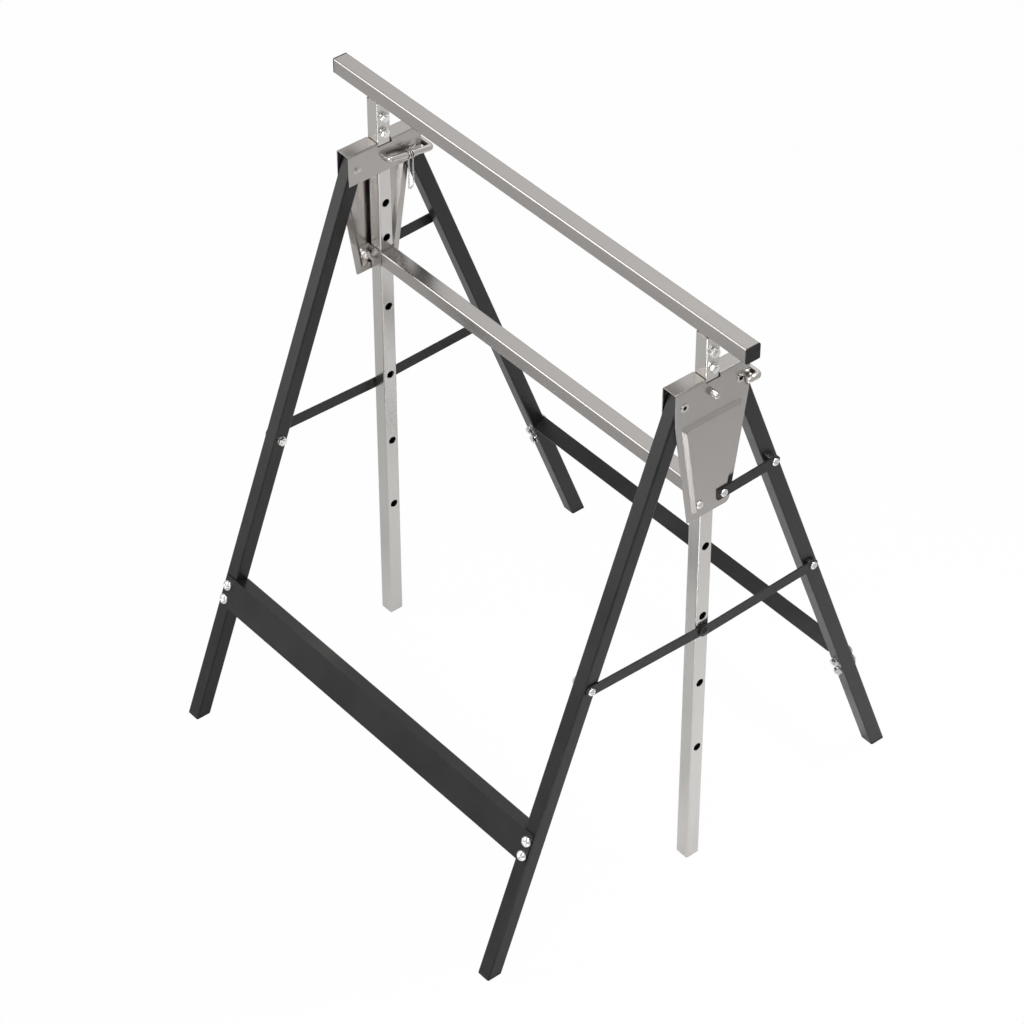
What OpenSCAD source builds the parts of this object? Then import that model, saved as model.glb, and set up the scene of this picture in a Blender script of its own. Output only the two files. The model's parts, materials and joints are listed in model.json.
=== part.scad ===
// Height adjustable builders trestle on two folding leg frames.
// X runs along the beam, -Y is the side of the folding legs, Z is up, and the feet stand on z = 0.

/* [Beam] */
// Length of the top beam with its end caps
beam_len = 700; // [500:10:1200]
// Side of the square beam tube
beam_size = 20; // [16:0.5:30]
// Height of the beam's top face above the floor in the lowest position
top_height = 800; // [740:5:900]
// Thickness of the flange on each beam end cap
cap_flange = 2; // [1:0.5:4]
// Depth of the cap's plug inside the tube
cap_depth = 16; // [8:1:30]

/* [Tubes] */
// Side of the square leg and post tube
tube_size = 19; // [16:0.5:25]
// Wall of every tube
tube_wall = 1.2; // [1:0.1:1.8]
// Outer radius of the tubes' corners
tube_corner = 2; // [1.9:0.1:3]
// Distance between the centre planes of the two leg frames
frame_spread = 560.8; // [400:5:900]

/* [Posts] */
// Gap between the post's top and the beam
post_gap = 2; // [1:0.5:5]
// Height of the post's lower end above the floor
post_floor_gap = 2; // [1:0.5:20]
// Diameter of the height holes
post_hole_d = 10.4; // [9:0.1:12]
// Distances of the other height holes below the pin
post_holes = [66, 115.5, 217, 320, 422.5, 523.5];
// Distance of the upper bolt below the beam
stub_bolt_drop = 23; // [15:1:30]
// Spacing of the two bolts that hold each post
stub_bolt_pitch = 21; // [15:1:25]
// Length of the stub tube inside the post
stub_len = 56; // [50:1:90]

/* [Head] */
// Thickness of the head's sheet steel
head_t = 1; // [0.8:0.1:2]
// Distance of the head's top face below the beam
head_drop = 56; // [54:1:80]
// Half length of the head along Y
head_half = 53; // [46:0.5:62]
// Height of the short inner plate
skirt_h = 41.5; // [36:0.5:52]
// Length of the outer plate below the inner one
plate_h = 147.5; // [140:0.5:170]
// Half width of the long plate at its lower edge
plate_low_half = 30.5; // [28:0.5:44]
// Rim left flat round the raised panel
panel_rim = 8; // [5:0.5:9]
// Height of the raised panel
panel_rise = 4; // [2:0.5:6]
// Depth of the post slot below the head's top face
slot_depth = 5; // [3:0.5:10]

/* [Leg pivots] */
// Distance of each leg pivot from the middle plane
pivot_y = 40; // [34:0.5:44]
// Distance of the leg pivots and the locking pin below the head's top face
pivot_drop = 22; // [20:0.5:25]
// Outer diameter of the tubular pivot rivet
pivot_d = 8; // [6:0.5:10]
// Bore of the tubular pivot rivet
pivot_bore = 5; // [3:0.5:6]

/* [Legs] */
// Distance of each foot's centre from the middle plane
foot_y = 302.5; // [200:2.5:400]
// Length of leg above its pivot
leg_over = 13; // [11:0.5:16]
// Thickness of the foot plug below the tube
foot_t = 4; // [2:0.5:8]
// Depth of the foot plug inside the tube
foot_depth = 22; // [12:1:40]

/* [Boards] */
// Height of the cross boards, measured along the leg
board_h = 40.4; // [36:0.5:80]
// Distance of the board's lower edge from the floor, along the leg
board_from_floor = 157.6; // [100:5:300]
// Thickness of the board's sheet
board_t = 1.5; // [1:0.1:2.5]
// Distance of the board's end from the leg's outer face
board_end = 2.7; // [1:0.1:6]
// Distance of the upper bolts below the board's top edge
board_bolt_drop = 12.3; // [10:0.1:16]
// Spacing of the two bolts at each board end
board_bolt_pitch = 19; // [15:0.5:20]

/* [Braces] */
// Height of the spreader's rivets on the legs
spreader_z = 367; // [260:1:480]
// Drop of the spreader's knee below its rivets
knee_drop = 5; // [2:0.5:15]
// Height of the spreader and strut bars
bar_h = 14.5; // [12:0.5:18]
// Thickness of the spreader and strut bars
bar_t = 2; // [1.5:0.1:3]
// Height of the strut's bolt on the rear leg above the rail's centre line
strut_rise = 1; // [0:0.5:30]
// Length of strut in front of its plate bolt
strut_over = 8; // [7:0.5:12]
// Depth of the strut rivet's collar inside the leg
rivet_collar = 3; // [2:0.5:5]

/* [Rail] */
// Side of the square rail between the heads
rail_size = 20; // [16:0.5:22]
// Height of the rail's centre line above the outer plate's lower edge
rail_rise = 25; // [22:0.5:40]
// Thickness of the rail's end brackets
bracket_t = 1.2; // [1:0.1:2]
// Height of the rail's end brackets
bracket_h = 22; // [20:0.5:26]
// Distance of the bracket bolts from the middle plane
bracket_bolt_y = 17; // [17:0.1:18]

/* [Fasteners] */
// Thread diameter of the bolts
bolt_d = 6; // [5:0.5:6.5]
// Diameter of the large domed heads
dome_d = 13.5; // [11:0.5:15]
// Diameter of the small domed heads
small_dome_d = 10; // [8:0.5:10.5]
// Height of the domed heads
dome_h = 3.4; // [2:0.1:3.6]
// Width across the flats of the nuts
nut_af = 10; // [8:0.5:11]
// Height of the nuts
nut_h = 5; // [3:0.5:6]

/* [Locking pins] */
// Diameter of the pin's rod
pin_d = 8; // [6:0.1:8.4]
// Clearance between the pin's cross bar and the head's corner or the leg, as the pin swings
pin_reach_gap = 0.6; // [0.5:0.1:6]
// Distance of the handle from the inner plate
pin_stand_off = 8; // [6:0.5:10]
// Length of the tip beyond the outer plate
pin_tip = 9; // [6:0.5:14]
// Clearance between the pin's hook and the outer plate
hook_gap = 1.5; // [1:0.1:3]
// Length of the hook's free end along the head
hook_len = 18.5; // [12:0.5:20]
// Slope of the right pin's handle below the level
right_slope = 3; // [0:0.5:10]
// Slope of the left pin's handle below the level
left_slope = 9; // [0:0.5:10]
// Distance of the middle chain ring from the pin's axis
ring_at = 29; // [24:1:34]
// Spacing of the three chain rings
ring_pitch = 3; // [2.5:0.1:4]
// Thickness of the rings' wire
ring_wire = 1.6; // [1:0.1:2]
// Thickness of the chain's round wire
chain_wire = 1.2; // [0.8:0.1:1.6]
// Length over which the chain hangs below the pivot
chain_drop = 56; // [40:1:70]

/* [Fits] */
// Clearance between sliding and folding parts
gap = 0.3; // [0.2:0.05:0.6]
// Clearance of a bolt in its hole, on the diameter
hole_gap = 0.4; // [0.2:0.05:0.8]
// Running clearance of rivets and pins, on the diameter
run_gap = 0.16; // [0.1:0.02:0.3]

/* [Hidden] */
$fn = 48;
mid_x = frame_spread / 2;
half_tube = tube_size / 2;
inner_tube = tube_size - 2 * tube_wall;
beam_z = top_height - beam_size / 2;
beam_under = top_height - beam_size;
post_top = beam_under - post_gap;
head_top = beam_under - head_drop;
head_skirt = head_top - skirt_h;
plate_bottom = head_skirt - plate_h;
pivot_z = head_top - pivot_drop;
rail_z = plate_bottom + rail_rise;
strut_z = rail_z + strut_rise;
tilt = atan((foot_y - pivot_y) / pivot_z);
plate_in = half_tube + gap;
plate_out = plate_in + head_t;
panel_in = plate_in + panel_rise;
panel_out = plate_out + panel_rise;
leg_pivot_s = pivot_z / cos(tilt);
leg_top_s = leg_pivot_s + leg_over;
spreader_s = spreader_z / cos(tilt);
strut_s = strut_z / cos(tilt);
spreader_y = pivot_y + (pivot_z - spreader_z) * tan(tilt);
strut_y = pivot_y + (pivot_z - strut_z) * tan(tilt);
link_len = norm([spreader_y, knee_drop]);
link_angle = atan(knee_drop / spreader_y);
front_bar_x = half_tube + gap;
rear_bar_x = front_bar_x + bar_t + gap;
board_top_s = board_from_floor + board_h;
bolt_s = [for (k = [0, 1]) board_top_s - board_bolt_drop - k * board_bolt_pitch];
stub_bolts = [for (k = [0, 1]) beam_under - stub_bolt_drop - k * stub_bolt_pitch];
hole = bolt_d + hole_gap;
pin_bend = pin_d / 2 + 0.5;
leg_back = pivot_y + half_tube / cos(tilt) + head_half * sin(max(right_slope, left_slope)) * tan(tilt);
pin_reach = max(norm([head_half, pivot_drop]), leg_back) + pin_reach_gap + pin_d / 2;
washer_t = 1.2;
dome_edge = 0.8;

function unit(v) = v / norm(v);

// Points of a convex outline whose corners [y, z, radius] are rounded
function rounded(c, steps = 5) = [for (i = [0:len(c) - 1])
    let (p = c[i], a = c[(i + len(c) - 1) % len(c)], b = c[(i + 1) % len(c)],
        here = [p[0], p[1]],
        u = unit([a[0], a[1]] - here), v = unit([b[0], b[1]] - here),
        half = acos(u * v) / 2,
        middle = here + unit(u + v) * p[2] / sin(half),
        from = here + u * p[2] / tan(half) - middle,
        to = here + v * p[2] / tan(half) - middle)
    for (k = [0:steps]) p[2] == 0 ? here : middle + unit(from * (1 - k / steps) + to * (k / steps)) * p[2]];

// Places its child on the right frame, or mirrored on the left one
module on_frame(side) {
    mirror([side < 0 ? 1 : 0, 0, 0])
        translate([mid_x, 0, 0]) children();
}

// Local Z runs up a leg from the floor, and local Y is its outward side
module on_leg(side) {
    mirror([0, side < 0 ? 1 : 0, 0])
        translate([0, foot_y, 0]) rotate([tilt, 0, 0]) children();
}

// Turns local Z to X
module along_x() {
    rotate([0, 90, 0]) children();
}

// Square with round corners, as a tube has them
module soft_square(size, corner) {
    square([size - 2 * corner, size], center = true);
    square([size, size - 2 * corner], center = true);
    for (x = [-1, 1], y = [-1, 1])
        translate([x, y] * (size / 2 - corner)) circle(corner);
}

module square_tube(size, length) {
    difference() {
        linear_extrude(length) soft_square(size, tube_corner);
        translate([0, 0, -1]) linear_extrude(length + 2)
            soft_square(size - 2 * tube_wall, tube_corner - tube_wall);
    }
}

// Solid plug that slides into a tube
module plug(size, length) {
    linear_extrude(length) soft_square(size - 2 * tube_wall - gap, tube_corner - tube_wall);
}

module dome(d, h) {
    ball = (d * d / 4 + h * h) / (2 * h);
    intersection() {
        translate([0, 0, h - ball]) sphere(ball, $fn = 64);
        cylinder(h = h, d = d + 2);
    }
}

module domed_head(d) {
    cylinder(h = dome_edge, d = d);
    translate([0, 0, dome_edge]) dome(d, dome_h - dome_edge);
}

// A bolt along Z: its head sits on z = 0, and its nut on z = -grip
module bolt(head_d, grip) {
    domed_head(head_d);
    translate([0, 0, -grip - nut_h - 1]) cylinder(h = grip + nut_h + 1, d = bolt_d);
    translate([0, 0, -grip - washer_t]) cylinder(h = washer_t, d = nut_af + 1.5);
    translate([0, 0, -grip - nut_h]) cylinder(h = nut_h - washer_t, d = nut_af / cos(30), $fn = 6);
}

module beam() {
    color("#a8a49f")
        translate([-beam_len / 2 + cap_flange, 0, beam_z]) along_x()
            square_tube(beam_size, beam_len - 2 * cap_flange);
}

module beam_cap(side) {
    color("#222222")
        mirror([side < 0 ? 1 : 0, 0, 0]) translate([beam_len / 2 - cap_flange, 0, beam_z]) {
            along_x() linear_extrude(cap_flange) soft_square(beam_size, tube_corner);
            translate([-cap_depth, 0, 0]) along_x() plug(beam_size, cap_depth);
        }
}

module beam_stubs() {
    color("#a8a49f")
        for (side = [-1, 1])
            difference() {
                translate([side * mid_x, 0, beam_under - stub_len])
                    square_tube(inner_tube - gap, stub_len);
                for (z = stub_bolts)
                    translate([side * mid_x - half_tube, 0, z]) along_x()
                        cylinder(h = tube_size, d = hole);
            }
}

module post(side) {
    color("#c9c7c4")
        difference() {
            translate([side * mid_x, 0, post_floor_gap])
                square_tube(tube_size, post_top - post_floor_gap);
            for (z = stub_bolts)
                translate([side * mid_x - tube_size, 0, z]) along_x()
                    cylinder(h = 2 * tube_size, d = hole);
            for (below = concat([0], post_holes))
                translate([side * mid_x - tube_size, 0, pivot_z - below]) along_x()
                    cylinder(h = 2 * tube_size, d = post_hole_d);
        }
}

module post_bolts() {
    color("#dcdcdc")
        for (side = [-1, 1], z = stub_bolts)
            translate([side * mid_x - half_tube, 0, z]) rotate([0, -90, 0])
                bolt(small_dome_d, tube_size);
}

// Outline of the long plate in Y and Z, drawn in by an offset
module plate_outline(inset) {
    rise = head_skirt - plate_bottom;
    lean = atan((head_half - plate_low_half) / rise);
    side_in = inset / cos(lean);
    low = plate_low_half + inset * tan(lean) - side_in;
    high = head_half - inset * tan(lean) - side_in;
    polygon(rounded([[-low, plate_bottom + inset, 3], [low, plate_bottom + inset, 7],
        [high, head_skirt - inset, 4], [-high, head_skirt - inset, 4]]));
}

// Turns a drawing in Y and Z into a sheet that runs along X
module sheet(thickness) {
    rotate([90, 0, 90]) linear_extrude(thickness) children();
}

// A pan with sloping sides between the plate and its raised panel
module pan(from_x, depth, inset) {
    hull() {
        translate([from_x - 0.01, 0, 0]) sheet(0.01) plate_outline(inset);
        translate([from_x + depth - 0.01, 0, 0]) sheet(0.01) plate_outline(inset + depth);
    }
}

module head(side) {
    color("#9e9a96")
        on_frame(side)
            difference() {
                union() {
                    rotate([90, 0, 0]) translate([0, 0, -head_half]) linear_extrude(2 * head_half)
                        difference() {
                            polygon(rounded([[-plate_out, head_skirt, 0], [plate_out, head_skirt, 0],
                                [plate_out, head_top, 2.2], [-plate_out, head_top, 2.2]]));
                            polygon(rounded([[-plate_in, head_skirt - 1, 0], [plate_in, head_skirt - 1, 0],
                                [plate_in, head_top - head_t, 1.2], [-plate_in, head_top - head_t, 1.2]]));
                        }
                    translate([plate_in, 0, 0]) sheet(head_t)
                        difference() {
                            polygon(rounded([[-plate_low_half, plate_bottom, 2],
                                [plate_low_half, plate_bottom, 7],
                                [head_half, head_skirt, 0], [-head_half, head_skirt, 0]]));
                            plate_outline(panel_rim);
                        }
                    difference() {
                        pan(plate_out, panel_rise, panel_rim);
                        pan(plate_in, panel_rise, panel_rim);
                    }
                    translate([plate_in, 0, 0]) difference() {
                        sheet(head_t) plate_outline(panel_rim - 0.01);
                        translate([-1, 0, 0]) pan(1, panel_rise, panel_rim);
                    }
                }
                translate([-plate_out - 1, -half_tube - gap - 0.4, head_top - slot_depth])
                    cube([2 * plate_out + 2, tube_size + 2 * gap + 0.8, slot_depth + 1]);
                for (y = [-pivot_y, pivot_y])
                    translate([-plate_out - 1, y, pivot_z]) along_x()
                        cylinder(h = 2 * plate_out + 2, d = pivot_d + run_gap);
                translate([-plate_out - 1, 0, pivot_z]) along_x()
                    cylinder(h = 2 * plate_out + 2, d = pin_d + hole_gap);
                for (y = [-bracket_bolt_y, bracket_bolt_y])
                    translate([plate_in, y, rail_z - 2]) along_x()
                        cylinder(h = panel_out, d = hole);
            }
}

module leg_pivots() {
    color("#b5b1ad")
        for (side = [-1, 1], y = [-pivot_y, pivot_y])
            on_frame(side) translate([0, y, pivot_z]) {
                difference() {
                    union() {
                        translate([-plate_out, 0, 0]) along_x()
                            cylinder(h = 2 * plate_out + 0.8, d = pivot_d);
                        translate([plate_out, 0, 0]) along_x() cylinder(h = 0.8, d = pivot_d + 3);
                    }
                    translate([-half_tube, 0, 0]) along_x()
                        cylinder(h = 2 * plate_out + 2, d = pivot_bore);
                }
                translate([-plate_out, 0, 0]) rotate([0, -90, 0]) dome(pivot_d + 4, 1.4);
            }
}

module rail() {
    color("#a8a49f")
        translate([-mid_x + plate_in + bracket_t, 0, rail_z]) along_x()
            square_tube(rail_size, frame_spread - 2 * plate_in - 2 * bracket_t);
}

module rail_brackets() {
    color("#a8a49f")
        for (side = [-1, 1])
            on_frame(side)
                difference() {
                    union() {
                        translate([-plate_in - bracket_t, -plate_in - bracket_t, rail_z - bracket_h / 2])
                            cube([plate_in + bracket_t + panel_in, 2 * (plate_in + bracket_t), bracket_h]);
                        intersection() {
                            translate([panel_in - bracket_t, -head_half, rail_z - bracket_h / 2])
                                cube([bracket_t, 2 * head_half, bracket_h]);
                            sheet(panel_out) plate_outline(panel_rim + panel_rise + gap);
                        }
                    }
                    translate([-plate_in, -plate_in, rail_z - bracket_h])
                        cube([2 * panel_in + plate_in, 2 * plate_in, 2 * bracket_h]);
                    for (y = [-bracket_bolt_y, bracket_bolt_y])
                        translate([0, y, rail_z - 2]) along_x() cylinder(h = panel_out, d = hole);
                }
}

module rail_bolts() {
    color("#dcdcdc")
        for (side = [-1, 1], y = [-bracket_bolt_y, bracket_bolt_y])
            on_frame(side) translate([panel_out + (y > 0 ? bar_t : 0), y, rail_z - 2]) along_x()
                bolt(small_dome_d, head_t + bracket_t + (y > 0 ? bar_t : 0));
}

// A leg tube cut level at the floor. Each cross hole is [height, diameter, start along X]
module leg(side, cross) {
    color("#2d2b2b")
        on_leg(side)
            difference() {
                translate([0, 0, -tube_size]) square_tube(tube_size, leg_top_s + tube_size);
                rotate([-tilt, 0, 0]) translate([-tube_size, -tube_size, -2 * tube_size])
                    cube([2 * tube_size, 2 * tube_size, 2 * tube_size + foot_t]);
                for (c = cross)
                    translate([c[2], 0, c[0]]) along_x() cylinder(h = 2 * tube_size, d = c[1]);
                for (s = bolt_s)
                    translate([0, tube_size, s]) rotate([90, 0, 0])
                        cylinder(h = 2 * tube_size, d = hole);
            }
}

module front_leg(side) {
    translate([side * mid_x, 0, 0])
        leg(-1, [[leg_pivot_s, pivot_d + run_gap, -tube_size], [spreader_s, hole, -tube_size]]);
}

module rear_leg(side) {
    translate([side * mid_x, 0, 0])
        leg(1, [[leg_pivot_s, pivot_d + run_gap, -tube_size], [spreader_s, hole, -tube_size],
            [strut_s, hole, side < 0 ? -2 * tube_size : 0]]);
}

// Plugs that close the foot ends of two legs
module feet(side) {
    color("#1c1c1c")
        for (x = [-mid_x, mid_x])
            translate([x, 0, 0]) on_leg(side)
                difference() {
                    union() {
                        translate([0, 0, -tube_size]) linear_extrude(2 * tube_size)
                            soft_square(tube_size, tube_corner);
                        plug(tube_size, foot_depth + half_tube);
                    }
                    rotate([-tilt, 0, 0]) translate([-tube_size, -tube_size, -2 * tube_size])
                        cube([2 * tube_size, 2 * tube_size, 2 * tube_size]);
                    difference() {
                        rotate([-tilt, 0, 0]) translate([-tube_size, -tube_size, foot_t])
                            cube([2 * tube_size, 2 * tube_size, 2 * tube_size]);
                        translate([0, 0, -tube_size]) plug(tube_size, foot_depth + 2 * tube_size);
                    }
                }
}

// Angle board: an upright plate on the outside of two legs with a flange between them
module board(side) {
    half = mid_x + half_tube - board_end;
    color("#2b2a2b")
        on_leg(side)
            difference() {
                union() {
                    translate([0, half_tube + board_t, 0]) rotate([90, 0, 0])
                        linear_extrude(board_t)
                            polygon(rounded([[-half, board_from_floor, 7], [half, board_from_floor, 7],
                                [half, board_top_s, 1.5], [-half, board_top_s, 1.5]]));
                    translate([-mid_x + half_tube + gap, -half_tube, board_top_s - board_t])
                        cube([frame_spread - tube_size - 2 * gap, tube_size + board_t / 2, board_t]);
                }
                for (x = [-mid_x, mid_x], s = bolt_s)
                    translate([x, tube_size, s]) rotate([90, 0, 0]) cylinder(h = tube_size, d = hole);
            }
}

module board_bolts(side) {
    color("#e0e0e0")
        for (x = [-mid_x, mid_x], s = bolt_s)
            on_leg(side) translate([x, half_tube + board_t, s]) rotate([-90, 0, 0])
                bolt(dome_d, tube_size + board_t);
}

// Straight bar from the raised panel to the rear leg, which it passes at a distance
module strut(side) {
    run = strut_y - bracket_bolt_y;
    rise = strut_z - rail_z + 2;
    long = norm([run, rise]);
    color("#2d2b2b")
        on_frame(side) translate([panel_out, bracket_bolt_y, rail_z - 2])
            rotate([atan(rise / run), 0, 0])
                difference() {
                    union() {
                        translate([0, -strut_over, -bar_h / 2]) cube([bar_t, long + strut_over, bar_h]);
                        translate([0, long, 0]) along_x() cylinder(h = bar_t, d = bar_h);
                    }
                    for (y = [0, long])
                        translate([-1, y, 0]) along_x() cylinder(h = bar_t + 2, d = hole);
                }
}

// Blind rivets that end in a collar inside the rear legs
module strut_rivets() {
    inside = half_tube - tube_wall - rivet_collar;
    color("#dcdcdc")
        for (side = [-1, 1])
            on_frame(side) translate([0, strut_y, strut_z]) {
                translate([panel_out + bar_t, 0, 0]) along_x() domed_head(small_dome_d);
                translate([inside, 0, 0]) along_x() cylinder(h = panel_out + bar_t - inside, d = bolt_d);
                translate([inside, 0, 0]) along_x() cylinder(h = rivet_collar, d = bolt_d + 3);
            }
}

// Tubular spacer that holds a bar off the leg
module spacer(length) {
    difference() {
        cylinder(h = length, d = small_dome_d);
        translate([0, 0, -1]) cylinder(h = length + 2, d = hole);
    }
}

module spacers() {
    color("#dcdcdc")
        for (side = [-1, 1])
            on_frame(side) {
                translate([half_tube, strut_y, strut_z]) along_x() spacer(panel_out - half_tube);
                translate([half_tube, spreader_y, spreader_z]) along_x()
                    spacer(rear_bar_x - half_tube - gap);
            }
}

// Flat bar with round ends from y = 0 to y = link_len, lying on x = 0 to x = bar_t
module link_bar() {
    difference() {
        union() {
            translate([0, 0, -bar_h / 2]) cube([bar_t, link_len, bar_h]);
            for (y = [0, link_len])
                translate([0, y, 0]) along_x() cylinder(h = bar_t, d = bar_h);
        }
        for (y = [0, link_len])
            translate([-1, y, 0]) along_x() cylinder(h = bar_t + 2, d = bolt_d + run_gap);
    }
}

module front_link(side) {
    color("#2d2b2b")
        on_frame(side) translate([front_bar_x, -spreader_y, spreader_z])
            rotate([-link_angle, 0, 0]) link_bar();
}

module rear_link(side) {
    color("#2d2b2b")
        on_frame(side) translate([rear_bar_x, spreader_y, spreader_z])
            rotate([180 + link_angle, 0, 0]) link_bar();
}

module front_link_bolts() {
    color("#dcdcdc")
        for (side = [-1, 1])
            on_frame(side) translate([front_bar_x + bar_t + gap, -spreader_y, spreader_z]) along_x()
                bolt(small_dome_d, tube_size + gap + bar_t + gap);
}

module rear_link_bolts() {
    color("#dcdcdc")
        for (side = [-1, 1])
            on_frame(side) translate([rear_bar_x + bar_t + gap, spreader_y, spreader_z]) along_x()
                bolt(small_dome_d, rear_bar_x - half_tube + bar_t + gap + tube_size);
}

// Inner end of the knee's rivet, flush in the front link
module knee_stub(side) {
    color("#3a3838")
        on_frame(side) translate([front_bar_x, 0, spreader_z - knee_drop]) along_x()
            cylinder(h = bar_t, d = bolt_d);
}

// Outer end of the knee's rivet, carried by the rear link
module knee_rivet(side) {
    color("#3a3838")
        on_frame(side) translate([0, 0, spreader_z - knee_drop]) {
            translate([rear_bar_x, 0, 0]) along_x() cylinder(h = bar_t, d = bolt_d);
            translate([rear_bar_x + bar_t, 0, 0]) along_x() dome(small_dome_d, dome_h - dome_edge);
        }
}

function pin_slope(side) = side > 0 ? right_slope : left_slope;

// Places its child on the pin's axis, with local Y along the handle
module on_pin(side) {
    on_frame(side) translate([0, 0, pivot_z]) rotate([-pin_slope(side), 0, 0]) children();
}

// Quarter bend of the pin's rod about the origin, in the plane of X and Y
module bend() {
    rotate_extrude(angle = 90) translate([pin_bend, 0]) circle(d = pin_d, $fn = 32);
}

// Bent rod: shank through head and post, handle inside, cross bar behind the head, hook outside
module lock_pin(side) {
    r = pin_bend;
    in_x = -plate_out - pin_stand_off;
    hook_x = plate_out + hook_gap + pin_d / 2;
    color("#a5a19c")
        on_pin(side) {
            translate([in_x + r, 0, 0]) along_x()
                cylinder(h = plate_out + pin_tip - in_x - r - 1.5, d = pin_d);
            translate([plate_out + pin_tip - 1.5, 0, 0]) along_x()
                cylinder(h = 1.5, d1 = pin_d, d2 = pin_d - 3);
            translate([in_x + r, r, 0]) rotate([0, 0, 180]) bend();
            translate([in_x, r, 0]) rotate([-90, 0, 0]) cylinder(h = pin_reach - 2 * r, d = pin_d);
            translate([in_x + r, pin_reach - r, 0]) rotate([0, 0, 90]) bend();
            translate([in_x + r, pin_reach, 0]) along_x() cylinder(h = hook_x - in_x - 2 * r, d = pin_d);
            translate([hook_x - r, pin_reach - r, 0]) bend();
            translate([hook_x, pin_reach - hook_len, 0]) rotate([-90, 0, 0])
                cylinder(h = hook_len - r, d = pin_d);
        }
}

// Three loose rings that hold the chain on the pin's handle
module pin_rings(side) {
    color("#cfcfcf")
        on_pin(side)
            for (k = [-1:1])
                translate([-plate_out - pin_stand_off, ring_at + k * ring_pitch, 0]) rotate([90, 0, 0])
                    rotate_extrude() translate([pin_d / 2 + gap + ring_wire / 2, 0])
                        circle(d = ring_wire, $fn = 24);
}

// Points of the chain's route, from under the rear pivot's head down and up to the middle ring
function chain_route(slope) = let (ring_r = pin_d / 2 + gap + ring_wire,
        near = ring_at * cos(slope) - ring_r * sin(slope),
        top = pivot_z - ring_at * sin(slope) - ring_r * cos(slope) - gap,
        far = pivot_y - 1, low = pivot_z - chain_drop, r = (far - near) / 2,
        flat = concat([[far, pivot_z - pivot_d / 2 - 2 - gap], [far, (pivot_z + low) / 2]],
            [for (k = [0:9]) [(far + near) / 2 + r * cos(k * 20), low + r - r * sin(k * 20)]],
            [[near, (pivot_z + low) / 2], [near, top]]),
        last = len(flat) - 1, drift = pin_stand_off - gap - chain_wire)
    [for (k = [0:last])
        [-plate_out - gap - chain_wire - drift * max(0, min(1, (k - 1) / (last - 2))),
            flat[k][0], flat[k][1]]];

// One chain as a plain eight-sided tube along its route
module pin_chain(side) {
    route = chain_route(pin_slope(side));
    last = len(route) - 1;
    rings = [for (k = [0:last])
        let (step = route[min(k + 1, last)] - route[max(k - 1, 0)], u = unit([step[1], step[2]]))
        for (a = [0:45:315])
            route[k] + chain_wire * [cos(a), -sin(a) * u[1], sin(a) * u[0]]];
    color("#c4c4c4")
        on_frame(side)
            polyhedron(rings, concat(
                [[for (a = [7:-1:0]) a]],
                [for (k = [0:last - 1], a = [0:7])
                    [8 * k + a, 8 * k + (a + 1) % 8, 8 * k + 8 + (a + 1) % 8, 8 * k + 8 + a]],
                [[for (a = [0:7]) 8 * last + a]]));
}

beam();
beam_cap(1);  // beam_cap_right
beam_cap(-1);  // beam_cap_left
beam_stubs();
post(1);  // post_right
post(-1);  // post_left
post_bolts();
head(1);  // head_right
head(-1);  // head_left
leg_pivots();
rail();
rail_brackets();
rail_bolts();
front_leg(1);  // front_leg_right
front_leg(-1);  // front_leg_left
rear_leg(1);  // rear_leg_right
rear_leg(-1);  // rear_leg_left
feet(-1);  // front_feet
feet(1);  // rear_feet
board(-1);  // front_board
board(1);  // rear_board
board_bolts(-1);  // front_board_bolts
board_bolts(1);  // rear_board_bolts
strut(1);  // strut_right
strut(-1);  // strut_left
strut_rivets();
spacers();
front_link(1);  // front_link_right
front_link(-1);  // front_link_left
rear_link(1);  // rear_link_right
rear_link(-1);  // rear_link_left
front_link_bolts();
rear_link_bolts();
knee_rivet(1);  // knee_rivet_right
knee_rivet(-1);  // knee_rivet_left
knee_stub(1);  // knee_stub_right
knee_stub(-1);  // knee_stub_left
lock_pin(1);  // lock_pin_right
lock_pin(-1);  // lock_pin_left
pin_rings(1);  // pin_rings_right
pin_rings(-1);  // pin_rings_left
pin_chain(1);  // pin_chain_right
pin_chain(-1);  // pin_chain_left
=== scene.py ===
import json
import math

import bmesh
import bpy
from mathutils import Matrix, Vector


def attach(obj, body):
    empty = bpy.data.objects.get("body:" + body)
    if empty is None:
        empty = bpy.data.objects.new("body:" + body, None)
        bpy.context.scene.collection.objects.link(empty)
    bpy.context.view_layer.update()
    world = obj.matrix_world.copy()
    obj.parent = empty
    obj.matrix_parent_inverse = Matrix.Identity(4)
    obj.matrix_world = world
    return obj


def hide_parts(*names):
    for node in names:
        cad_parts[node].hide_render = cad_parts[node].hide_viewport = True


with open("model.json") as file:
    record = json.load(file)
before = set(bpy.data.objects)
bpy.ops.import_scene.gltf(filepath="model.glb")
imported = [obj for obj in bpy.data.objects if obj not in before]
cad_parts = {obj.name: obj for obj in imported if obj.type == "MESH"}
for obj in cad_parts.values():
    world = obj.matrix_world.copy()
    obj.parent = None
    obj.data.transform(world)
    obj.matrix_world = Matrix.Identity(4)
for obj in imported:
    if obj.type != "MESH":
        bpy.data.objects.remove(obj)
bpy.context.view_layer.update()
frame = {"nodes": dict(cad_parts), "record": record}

bl_info = {
    "name": "Folding trestle finish",
    "version": (1, 0, 0),
    "blender": (4, 5, 0),
    "location": "3D View > Sidebar > Trestle",
    "description": "Dresses a folding, height adjustable trestle in steel, black paint and bright fasteners",
    "category": "Object",
}

# Lengths and places are in metres. Those of the tubes, heads, bolts, pins and chains match the solids.

# Tubes: the middle of the posts and legs at each end, half a tube's width, and the clearance between pieces
MID_X = 0.2804
HALF_TUBE = 0.0095
GAP = 0.0003

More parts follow.
